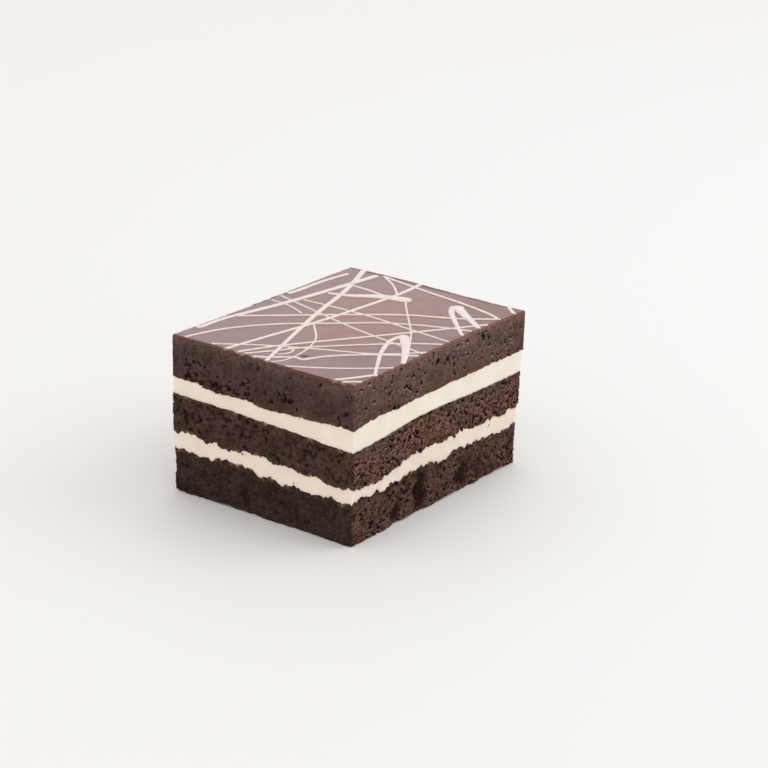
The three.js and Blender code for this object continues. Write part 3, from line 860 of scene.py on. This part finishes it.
def in_millimetres(tree, shift=0.0):
    """The position of each point in millimetres, moved so that each piece has its own pattern."""
    place = scaled(flow(tree, "GeometryNodeInputPosition"), 1 / MM)
    return vectors("ADD", place, flow(tree, "ShaderNodeCombineXYZ", {"X": shift, "Y": shift}))


def mark(tree, name, kind="FLOAT"):
    """A value or vector that the mesh carries at each point."""
    return flow(tree, "GeometryNodeInputNamedAttribute", {"Name": name}, "Attribute", data_type=kind)


def pushed_out(geometry, rise):
    """Sides moved along their way out, by a rise in millimetres."""
    offset = scaled(mark(geometry.tree, "out", "FLOAT_VECTOR"), rise * MM)
    return flow(geometry.tree, "GeometryNodeSetPosition", {"Geometry": geometry, "Offset": offset})


def pore_depth(place, spacing, share, radius):
    """Depth of round pores that a cut has opened. Each lies at its own distance behind the cut."""
    cells = flows(place.tree, "ShaderNodeTexVoronoi", {"Vector": place, "Scale": 1.0 / spacing})
    chance = flow(place.tree, "FunctionNodeSeparateColor", {"Color": cells["Color"]}, "Red")
    least = 1.0 - share
    rarely = maths("POWER", remap(chance, least, 1.0), 1.6)
    size = between(rarely, 0.35, 1.0) * radius * maths("GREATER_THAN", chance, least)
    away = cells["Distance"] * spacing
    return maths("SQRT", deepest(size * size - away * away, 0.0))


def hole_depth(place, size, crowd, lively):
    """Depth of the deepest hole at a place: wide pores, fine pores and ragged cavities."""
    wide = pore_depth(place, size["PoreSpacing"], size["PoreShare"] * crowd, size["PoreRadius"] * lively)
    fine = pore_depth(place, size["FineSpacing"], size["FineShare"] * crowd, size["FineRadius"])
    share = size["CavityShare"] + remap(crowd, 0.1, 2.0, -0.05, 0.05)
    cavity = deepest(share - noise(place, 1.0 / size["CavitySize"], 2.0), 0.0)
    return deepest(wide, fine, cavity * size["CavityDepth"] * lively)


def pushes(place, scale, detail, reach):
    """Pushes in all directions that change from place to place."""
    return scaled(vectors("SUBTRACT", noise(place, scale, detail, "Color"), (0.5, 0.5, 0.5)), reach)


def bent(straight, coarse):
    """A place pushed about, so that holes and grains aren't round, and drawn in where crumb is coarse."""
    return scaled(vectors("ADD", straight, pushes(straight, 0.9, 3.0, 1.5)), coarse)


def crumb_tree():
    """Sponge crumb on a side of a layer: clumps, grains, holes and knife streaks."""
    tree, size = geometry_tree("sponge crumb", **{label: sizes[0] for label, sizes in SPONGE_CRUMB.items()})
    straight = in_millimetres(tree, size["Shift"])
    torn = mark(tree, "torn")
    coarse = between(torn, size["CutCoarse"], 1.0)
    lively = between(torn, size["CutCalm"], 1.0)
    place = bent(straight, coarse)

    low = remap(mark(tree, "level"), 0.15, 0.65, size["LowCrowd"], size["HighCrowd"])
    low = low + (1.0 - low) * torn
    crowd = remap(noise(straight, 0.11, 2.0), 0.36, 0.64, 0.3, 1.5) * low * mark(tree, "broken")
    pit = hole_depth(place, size, crowd, lively)
    # The lower lip of a hole is raised a little, and the finish paints a glint on it
    above = bent(vectors("ADD", straight, (0.0, 0.0, LIP_HEIGHT)), coarse)
    lip = deepest(hole_depth(above, size, crowd, lively) - pit * 2.0, 0.0)

    grains = flows(tree, "ShaderNodeTexVoronoi", {"Vector": place, "Scale": 1.0 / size["GrainSize"]})
    dome = 0.5 - grains["Distance"]
    feeds = {"Vector": place, "Scale": 1.0 / size["ClumpSize"]}
    feeds.update({"Detail": 2.0, "Roughness": 0.55, "Lacunarity": 2.1})
    clumps = flow(tree, "ShaderNodeTexVoronoi", feeds, "Distance", normalize=True)
    lumps = dome * size["GrainHeight"] * lively + (0.35 - clumps) * size["ClumpHeight"] * lively
    swell = (noise(place, 0.16, 2.0) - 0.5) * size["SwellHeight"]
    drawn = vectors("MULTIPLY", straight, (1.0, 1.0, 0.06))
    streak = (noise(drawn, 0.9, 1.0) - 0.5) * size["StreakHeight"] * (1.0 - torn)

    own = flow(tree, "FunctionNodeSeparateColor", {"Color": grains["Color"]}, "Green")
    # The tone is partly each grain's own, and partly painted light from the relief: grain and clump tops
    # lighter, the gaps between them darker
    tone = own * 0.5 + dome * 1.1 + (0.7 - clumps) + streak * 2.5
    kept = size["Geometry"]
    for label, value in (("pit", pit), ("lip", lip), ("grain_tone_and_shade", tone)):
        feeds = {"Geometry": kept, "Name": label, "Value": value}
        kept = flow(tree, "GeometryNodeStoreNamedAttribute", feeds)
    rise = lumps + swell + streak - pit * 1.3 + lip * 0.2
    return close_tree(pushed_out(kept, rise), size["Material"])


def cream_tree():
    """Cream that a knife has drawn: a slow swell, faint drag lines, small air bubbles and torn patches."""
    tree, size = geometry_tree(
        "drawn cream", Shift=0.0, Swell=0.3, Drag=0.07, Tear=0.0, BubbleSpacing=3.4, BubbleShare=0.3,
        BubbleRadius=0.35)
    place = in_millimetres(tree, size["Shift"])
    drawn = vectors("MULTIPLY", place, (0.18, 0.18, 1.0))
    swell = (noise(place, 0.11, 1.0) - 0.5) * size["Swell"]
    drag = (noise(drawn, 0.9, 2.0) - 0.5) * size["Drag"]
    tear = (noise(place, 0.3, 2.0) - 0.55) * size["Tear"] * mark(tree, "broken")
    bubble = pore_depth(place, size["BubbleSpacing"], size["BubbleShare"], size["BubbleRadius"])
    return close_tree(pushed_out(size["Geometry"], swell + drag + tear - bubble), size["Material"])


def ganache_tree():
    """Set ganache: low waves and dimples in its top, and an uneven rim."""
    tree, size = geometry_tree("set ganache", Wave=0.16, Dimple=0.06, RimWave=0.8)
    place = in_millimetres(tree)
    wave = (noise(place, 0.09, 2.0) - 0.55) * size["Wave"]
    dimple = (noise(place, 0.45, 2.0) - 0.5) * size["Dimple"]
    rim = (noise(place, 0.6, 3.0) - 0.6) * size["RimWave"]
    upwards = flow(tree, "ShaderNodeCombineXYZ", {"Z": (wave + dimple) * mark(tree, "top") * MM})
    offset = vectors("ADD", scaled(mark(tree, "out", "FLOAT_VECTOR"), rim * MM), upwards)
    moved = flow(tree, "GeometryNodeSetPosition", {"Geometry": size["Geometry"], "Offset": offset})
    return close_tree(moved, size["Material"])


def drizzle_tree():
    """Drizzle strands: a soft cord along each line, as wide and as flat as the line says."""
    tree, size = geometry_tree(
        "drizzle strands", Unevenness=0.36, Lumps=2.6, HalfWidth=WIDTH / 2 - DRIZZLE_TRIM,
        HalfLength=LENGTH / 2 - DRIZZLE_TRIM)
    line = flow(tree, "GeometryNodeMeshToCurve", {"Mesh": size["Geometry"]})
    line = flow(tree, "GeometryNodeSetCurveNormal", {"Curve": line}, mode="Z_UP")
    lumps = noise(in_millimetres(tree), 1.0 / size["Lumps"], 1.0)
    radius = mark(tree, "width") * (0.5 * MM) * ((lumps - 0.5) * size["Unevenness"] + 1.0)
    line = flow(tree, "GeometryNodeSetCurveRadius", {"Curve": line, "Radius": radius})
    ring = flow(tree, "GeometryNodeCurvePrimitiveCircle", {"Resolution": 12, "Radius": 1.0})
    feeds = {"Curve": line, "Profile Curve": ring, "Scale": radius, "Fill Caps": True}
    cord = flow(tree, "GeometryNodeCurveToMesh", feeds)
    apart = flows(tree, "ShaderNodeSeparateXYZ", {"Vector": flow(tree, "GeometryNodeInputPosition")})
    bed = mark(tree, "bed") * MM
    feeds = {"Z": bed + (apart["Z"] - bed) * mark(tree, "flatness")}
    for axis, reach in (("X", "HalfWidth"), ("Y", "HalfLength")):
        side = size[reach] * MM
        feeds[axis] = maths("MAXIMUM", maths("MINIMUM", apart[axis], side), side * -1.0)
    placed = flow(tree, "ShaderNodeCombineXYZ", feeds)
    moved = flow(tree, "GeometryNodeSetPosition", {"Geometry": cord, "Position": placed})
    return close_tree(moved, size["Material"])


def crumbs_tree():
    """Loose crumbs that cling to the cut sides, with a density for each square millimetre."""
    tree, size = geometry_tree("loose crumbs", Density=0.3, Smallest=0.14, Largest=0.42, Seed=7)
    density = mark(tree, "cling") * size["Density"] * MM ** -2
    feeds = {"Mesh": size["Geometry"], "Density": density, "Seed": size["Seed"]}
    spots = flow(tree, "GeometryNodeDistributePointsOnFaces", feeds)
    ball = flow(tree, "GeometryNodeMeshIcoSphere", {"Radius": MM, "Subdivisions": 1})
    knobs = pushes(in_millimetres(tree), 1.1, 2.0, 1.6 * MM)
    crumb = flow(tree, "GeometryNodeSetPosition", {"Geometry": ball, "Offset": knobs})
    feeds = {"Max": CRUMB_TURN, "Seed": size["Seed"]}
    turn = flow(tree, "FunctionNodeRandomValue", feeds, 0, data_type="FLOAT_VECTOR")
    chance = flow(tree, "FunctionNodeRandomValue", {"Seed": size["Seed"]}, 1, data_type="FLOAT")
    feeds = {
        "Points": spots,
        "Instance": crumb,
        "Rotation": flow(tree, "FunctionNodeEulerToRotation", {"Euler": turn}),
        "Scale": between(maths("POWER", chance, 2.2), size["Smallest"], size["Largest"]),
    }
    return close_tree(flow(tree, "GeometryNodeInstanceOnPoints", feeds), size["Material"])


# Finishes

def rgba(colour):
    """A colour flow as it is, or a colour of three numbers made opaque."""
    return colour if isinstance(colour, Flow) else (*colour, 1.0)


def mixed(share, a, b, blend="MIX"):
    """Two colours mixed by a share."""
    feeds = {0: share, 6: rgba(a), 7: rgba(b)}
    return flow(tree_of(share, a, b), "ShaderNodeMix", feeds, 2, data_type="RGBA", blend_type=blend)


def bump(height, strength, depth):
    """The bump of a height, its depth in millimetres."""
    feeds = {"Height": height, "Strength": strength, "Distance": depth * MM}
    return flow(height.tree, "ShaderNodeBump", feeds)


def carried(tree, *names):
    """Values that the mesh carries."""
    return [flow(tree, "ShaderNodeAttribute", None, "Fac", attribute_name=name) for name in names]


def shader_group(name, inputs, outputs):
    """A shader node group with numbers and colours as inputs and outputs, and the flows from its inputs.

    Its first input is the place, in object coordinates.
    """
    group = bpy.data.node_groups.new(name, "ShaderNodeTree")
    group.interface.new_socket("Vector", in_out="INPUT", socket_type="NodeSocketVector")
    for way, sockets in (("INPUT", inputs), ("OUTPUT", outputs)):
        for label, value in sockets.items():
            socket = group.interface.new_socket(label, in_out=way, socket_type=SOCKET_KINDS[type(value)])
            socket.default_value = value
    return group, flows(group, "NodeGroupInput")


def grouped(group, place, **feeds):
    """All flows out of a shader node group at a place, by name."""
    return flows(place.tree, "ShaderNodeGroup", {"Vector": place, **feeds}, node_tree=group)


def crumb_tone_group():
    """Light and dark of crumb, in broad patches and single grains, and a fine roughness for the bump."""
    group, size = shader_group("crumb tone", {"Patch": 3.0, "Grain": 0.6}, {"Tone": 0.0, "Fine": 0.0})
    place = scaled(size["Vector"], 1 / MM)
    tone = noise(place, 1.0 / size["Patch"], 3.0) * 0.5 + noise(place, 1.0 / size["Grain"], 2.0) * 0.5
    put(group, "NodeGroupOutput", {"Tone": remap(tone, 0.34, 0.66), "Fine": noise(place, 4.0, 3.0)})
    return group


def soft_cloud_group():
    """Slow cloudiness of a smooth spread, and a fine unevenness for the bump."""
    group, size = shader_group("soft cloud", {"Size": 6.0, "FineSize": 0.8}, {"Cloud": 0.0, "Fine": 0.0})
    place = scaled(size["Vector"], 1 / MM)
    clouds = noise(place, 1.0 / size["Size"], 3.0)
    fine = noise(place, 1.0 / size["FineSize"], 3.0)
    put(group, "NodeGroupOutput", {"Cloud": remap(clouds, 0.3, 0.7), "Fine": fine})
    return group


CRUMB_TONE = crumb_tone_group()
SOFT_CLOUD = soft_cloud_group()


def grain_colour(size, crumb, torn, band):
    """Colour of the grains, with the painted light of their relief: calmer on the cut sides, and with a paler
    band on the torn ones.
    """
    calm = grouped(CRUMB_TONE, size["Vector"], Patch=5.0, Grain=1.5)["Tone"]
    [grain_tone_and_shade] = carried(torn.tree, "grain_tone_and_shade")
    grain_tone_and_shade = grain_tone_and_shade + (noise(size["Vector"], 130.0, 2.0) - 0.5) * 0.7
    cut_tone = remap(grain_tone_and_shade * 0.38 + calm * 0.62, 0.22, 0.85)
    torn_tone = remap(grain_tone_and_shade * 0.6 + crumb * 0.4, 0.28, 0.85)
    cut_colour = mixed(cut_tone, size["CutDark"], size["CutLight"])
    torn_colour = mixed(torn_tone, size["TornDark"], size["TornLight"])
    return mixed(torn, cut_colour, mixed(band, torn_colour, size["Band"]))


def tinted(colour, place, torn):
    """A colour with warmer and more mauve patches."""
    warmth = remap(noise(place, 0.42, 2.0), 0.35, 0.65)
    tint = mixed(warmth, (0.88, 1.05, 1.03), (1.12, 0.95, 0.92))
    colour = mixed(between(torn, 0.45, 1.0), colour, tint, "MULTIPLY")
    mauve = remap(noise(place, 0.16, 2.0), 0.38, 0.62)
    return mixed(1.0, colour, mixed(mauve, (0.97, 1.03, 0.91), (1.03, 0.97, 1.09)), "MULTIPLY")


def moisture_and_glint_share(place, lip, torn):
    """Moisture of crumb, which also places painted glints: in specks that lie in beds,
    and on the lower lips of holes.
    """
    beds = noise(place, 0.08, 1.0)
    specks = remap(noise(place, 1.5, 1.0), 0.67, 0.73, 0.0, 0.7) * remap(beds, 0.5, 0.6)
    lips = remap(lip, 0.15, 0.5) * remap(beds, 0.42, 0.6, 0.2, 1.0)
    return maths("MAXIMUM", specks, lips) * between(torn, 0.12, 1.0)


def sponge_colour_group():
    """Colour of sponge: grains of many tones with painted light on their relief, painted shade in holes and
    hollows, painted glints where crumb has moisture, and smeared cream next to a join.
    """
    black = (0.0, 0.0, 0.0, 1.0)
    inputs = {**dict.fromkeys(SPONGE_COLOURS, black), **dict.fromkeys(SPONGE_AMOUNTS, 0.0)}
    group, size = shader_group("sponge colour", inputs, {"Colour": black, "Fine": 0.0, "MoistureAndGlint": 0.0})
    place = scaled(size["Vector"], 1 / MM)
    crumb = grouped(CRUMB_TONE, size["Vector"], Patch=3.0, Grain=0.6)
    torn, level, edge, pit, lip, hollow = carried(group, "torn", "level", "edge", "pit", "lip", "hollow")
    patchy = noise(place, 0.3, 3.0)
    band = remap(level + noise(place, 0.06, 1.0), 1.2, 1.4, 0.0, size["BandShare"])
    colour = grain_colour(size, crumb["Tone"], torn, band)
    foot = remap(level - patchy * 0.5, -0.2, 0.08, 1.0, 0.0) * between(torn, 0.5, 1.0)
    colour = mixed(foot * size["FootShare"], colour, size["Edge"])
    colour = tinted(colour, place, torn)
    crest = remap(level, 0.74, 1.0, 0.0, size["Crest"])
    colour = mixed(crest * between(torn, 1.0, 0.65), colour, (1.7, 1.68, 1.72), "MULTIPLY")
    edge = edge + crest * 4.0
    colour = mixed(remap(edge, 0.2, 1.8, 0.6, 0.0), colour, size["Edge"])
    film = remap(edge, 0.0, 1.7, 1.0, 0.0) * remap(patchy, 0.52, 0.7, 0.0, size["Smear"])
    colour = mixed(film, colour, (0.42, 0.25, 0.21))
    moisture_and_glint = moisture_and_glint_share(place, lip, torn) * size["Glint"]
    # Painted highlight: glints made pale in the colour; the same share gives the real coat
    colour = mixed(moisture_and_glint, colour, (0.36, 0.27, 0.235))
    # Painted shade: holes and torn hollows are darkened towards the pore shade colour
    deep = remap(pit, 0.02, 0.22, 0.0, between(torn, size["CutHoleShade"], 0.97))
    colour = mixed(deepest(deep, remap(hollow, 0.4, 1.4, 0.0, 0.92)), colour, size["PoreShade"])
    put(group, "NodeGroupOutput", {"Colour": colour, "Fine": crumb["Fine"], "MoistureAndGlint": moisture_and_glint})
    return group


SPONGE_COLOUR = sponge_colour_group()


def new_finish(name):
    """A material with a Principled surface, the surface and the object coordinates."""
    finish = bpy.data.materials.new(name)
    finish.use_nodes = True
    place = flow(finish.node_tree, "ShaderNodeTexCoord", None, "Object")
    return finish, finish.node_tree.nodes["Principled BSDF"], place


def sponge_finish(name, **feeds):
    """Chocolate sponge in the colours and amounts of one layer."""
    finish, surface, place = new_finish(name)
    sponge = grouped(SPONGE_COLOUR, place, **feeds)
    fill(surface, {
        "Base Color": sponge["Colour"],
        "Roughness": 0.8,
        "Specular IOR Level": 0.06,
        "Coat Weight": sponge["MoistureAndGlint"],
        "Coat Roughness": 0.2,
        "Normal": bump(sponge["Fine"], 0.8, 0.18),
    })
    return finish


# How far red, green and blue light pass into cream and white chocolate, as shares
SOFT_REACH = (1.0, 0.75, 0.5)


def cream_finish(name, dark, light, side):
    """Ivory cream with a soft sheen, which lets light in a little way.
    The long sides are tinted with painted shade.
    """
    finish, surface, place = new_finish(name)
    cloud = grouped(SOFT_CLOUD, place, Size=7.0, FineSize=0.9)
    [torn] = carried(place.tree, "torn")
    fill(surface, {
        # Painted shade: the long sides take their tint
        "Base Color": mixed(torn, mixed(cloud["Cloud"], dark, light), side, "MULTIPLY"),
        "Roughness": 0.5,
        "Specular IOR Level": 0.35,
        "Subsurface Weight": 0.25,
        "Subsurface Radius": SOFT_REACH,
        "Subsurface Scale": 2.5 * MM,
        "Normal": bump(cloud["Fine"], 0.25, 0.06),
    })
    return finish


def ganache_finish():
    """Set ganache: mauve-brown with a satin gloss, warmer in the middle and darker at its cut rim.

    Painted shade lies on the rounded rim, to the right, at the back right, along the back edge and in the
    dent.
    """
    finish, surface, place = new_finish("Set Ganache")
    cloud = grouped(SOFT_CLOUD, place, Size=6.0, FineSize=0.7)
    breaks = remap(cloud["Fine"], 0.4, 0.6)
    warm, shade, far = carried(place.tree, "warm", "shade", "far")
    rim, torn, smear, dent = carried(place.tree, "rim", "torn", "smear", "dent")
    warm = maths("ADD", warm, between(cloud["Cloud"], -0.2, 0.2), clamp=True)
    colour = mixed(warm, (0.194, 0.087, 0.086), (0.240, 0.080, 0.061))
    # Painted shade to the right and towards the back right
    colour = mixed(shade, colour, (0.172, 0.058, 0.053))
    colour = mixed(far, colour, (0.150, 0.028, 0.014))
    # Darker rim: the cut face's own colour, and painted shade on the rounded edge
    cut_rim = mixed(breaks, (0.082, 0.026, 0.023), (0.158, 0.050, 0.044))
    torn_rim = mixed(breaks, (0.096, 0.038, 0.034), (0.198, 0.077, 0.070))
    colour = mixed(rim, colour, mixed(torn, cut_rim, torn_rim))
    colour = mixed(smear * between(breaks, 0.3, 1.0), colour, (0.74, 0.50, 0.40))
    # Painted shade in the dent
    colour = mixed(dent, colour, (0.060, 0.008, 0.009))
    sheen = between(cloud["Cloud"], 0.3, 0.4)
    fill(surface, {
        "Base Color": colour,
        "Roughness": maths("MAXIMUM", sheen, remap(rim, 0.2, 0.8, 0.3, 0.75)),
        "Specular IOR Level": 0.55,
        "Coat Weight": remap(maths("MAXIMUM", rim, dent), 0.0, 0.8, 0.4, 0.0),
        "Coat Roughness": 0.25,
        "Normal": bump(cloud["Fine"], 0.2, 0.05),
    })
    return finish


def drizzle_finish():
    """White chocolate, set with a soft gloss."""
    finish, surface, place = new_finish("White Drizzle")
    cloud = grouped(SOFT_CLOUD, place, Size=3.0, FineSize=0.6)
    fill(surface, {
        "Base Color": mixed(cloud["Cloud"], (0.745, 0.622, 0.574), (0.825, 0.710, 0.664)),
        "Roughness": 0.38,
        "Subsurface Weight": 0.15,
        "Subsurface Radius": SOFT_REACH,
        "Subsurface Scale": 1.2 * MM,
        "Normal": bump(cloud["Fine"], 0.15, 0.04),
    })
    return finish


def crumb_finish():
    """Loose sponge crumbs, like the sponge but without its pores."""
    finish, surface, place = new_finish("Loose Crumb")
    crumb = grouped(CRUMB_TONE, place, Patch=5.0, Grain=0.8)
    fill(surface, {
        "Base Color": mixed(crumb["Tone"], (0.018, 0.008, 0.006), (0.085, 0.038, 0.028)),
        "Roughness": 0.7,
        "Normal": bump(crumb["Fine"], 0.5, 0.1),
    })
    return finish


# Pieces

def dressed(piece, node):
    """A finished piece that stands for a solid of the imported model."""
    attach(piece, "root")
    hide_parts(node)
    return piece


layers = {}
crumb_relief = crumb_tree()
for order, (node, (title, joins, form)) in enumerate(SPONGE_LAYERS.items()):
    colours = {shade: rgba(each[order]) for shade, each in SPONGE_COLOURS.items()}
    amounts = {label: each[order] for label, each in SPONGE_AMOUNTS.items()}
    crumb = {label: each[order] for label, each in SPONGE_CRUMB.items()}
    finish = sponge_finish(title, **colours, **amounts)
    mesh = layer_mesh(node, joins, SPONGE_ROWS, **form)
    piece = shaped(node + "_crumb", mesh, crumb_relief, Material=finish, **crumb)
    layers[node] = dressed(piece, node)

cream_relief = cream_tree()
for node, (title, joins, form, colours, drawn) in CREAM_LAYERS.items():
    mesh = layer_mesh(node, joins, CREAM_ROWS, inset=CREAM_INSET, **form)
    piece = shaped(node + "_spread", mesh, cream_relief, Material=cream_finish(title, *colours), **drawn)
    layers[node] = dressed(piece, node)

ganache = shaped("ganache_top", ganache_mesh(*TOP_CELLS), ganache_tree(), Material=ganache_finish())
dressed(ganache, "ganache")

drizzle = shaped("drizzle_strands", drizzle_mesh(), drizzle_tree(), Material=drizzle_finish())
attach(drizzle, "root")
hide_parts("ganache")

from_floor_up = ("sponge_bottom", "cream_lower", "sponge_middle", "cream_upper", "sponge_top")
bed = crumb_bed([layers[node] for node in from_floor_up])
crumbs = shaped("loose_crumbs", bed, crumbs_tree(), Material=crumb_finish())
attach(crumbs, "root")


# Stage, light and camera, with the places of light and camera in metres

FLOOR_HALF = 2500.0
LIGHT_AIM = Vector((0, 0, 0.03))
CAMERA_PLACE = Vector((0.48209, -0.64572, 0.3348))
CAMERA_AZIMUTH = math.radians(35.92)
CAMERA_ELEVATION = math.radians(20.33)
CAMERA_ROLL = math.radians(1.51)
CAMERA_LENS = 109.42
SENSOR_WIDTH = 36.0
NEAREST_SEEN = 0.05


def floor():
    """A plain pale floor."""
    corners = np.array([(-1, -1, 0), (1, -1, 0), (1, 1, 0), (-1, 1, 0)])
    mesh = plain_mesh("floor", corners * FLOOR_HALF, [], [(0, 1, 2, 3)])
    finish, surface, _ = new_finish("Pale Floor")
    fill(surface, {"Base Color": rgba((0.83, 0.815, 0.80)), "Roughness": 0.6})
    mesh.materials.append(finish)
    add_to_scene("floor", mesh)


def soft_light(name, place, size, power, colour):
    """A large square lamp that faces the cake."""
    lamp = bpy.data.lights.new(name, "AREA")
    lamp.shape = "SQUARE"
    lamp.size = size
    lamp.energy = power
    lamp.color = colour
    holder = add_to_scene(name, lamp)
    holder.location = place
    holder.rotation_euler = (LIGHT_AIM - Vector(place)).to_track_quat("-Z", "Y").to_euler()


def room_light(strength, colour):
    """Even light from all round."""
    world = bpy.data.worlds.new("room")
    world.use_nodes = True
    fill(world.node_tree.nodes["Background"], {"Color": rgba(colour), "Strength": strength})
    bpy.context.scene.world = world


def camera():
    """The camera at the photograph's viewing angle."""
    lens = bpy.data.cameras.new("camera")
    lens.lens = CAMERA_LENS
    lens.sensor_width = SENSOR_WIDTH
    lens.clip_start = NEAREST_SEEN
    holder = add_to_scene("camera", lens)
    turned = Matrix.Rotation(CAMERA_AZIMUTH, 4, "Z")
    tipped = Matrix.Rotation(math.pi / 2 - CAMERA_ELEVATION, 4, "X")
    rolled = Matrix.Rotation(CAMERA_ROLL, 4, "Z")
    holder.matrix_world = Matrix.Translation(CAMERA_PLACE) @ turned @ tipped @ rolled
    bpy.context.scene.camera = holder


floor()
room_light(strength=1.015, colour=(1.0, 0.985, 0.98))
soft_light("back_right_window", place=(0.75, 0.65, 0.85), size=0.9, power=3.95, colour=(0.865, 0.97, 1.0))
camera()
bpy.context.scene.view_settings.view_transform = "Standard"
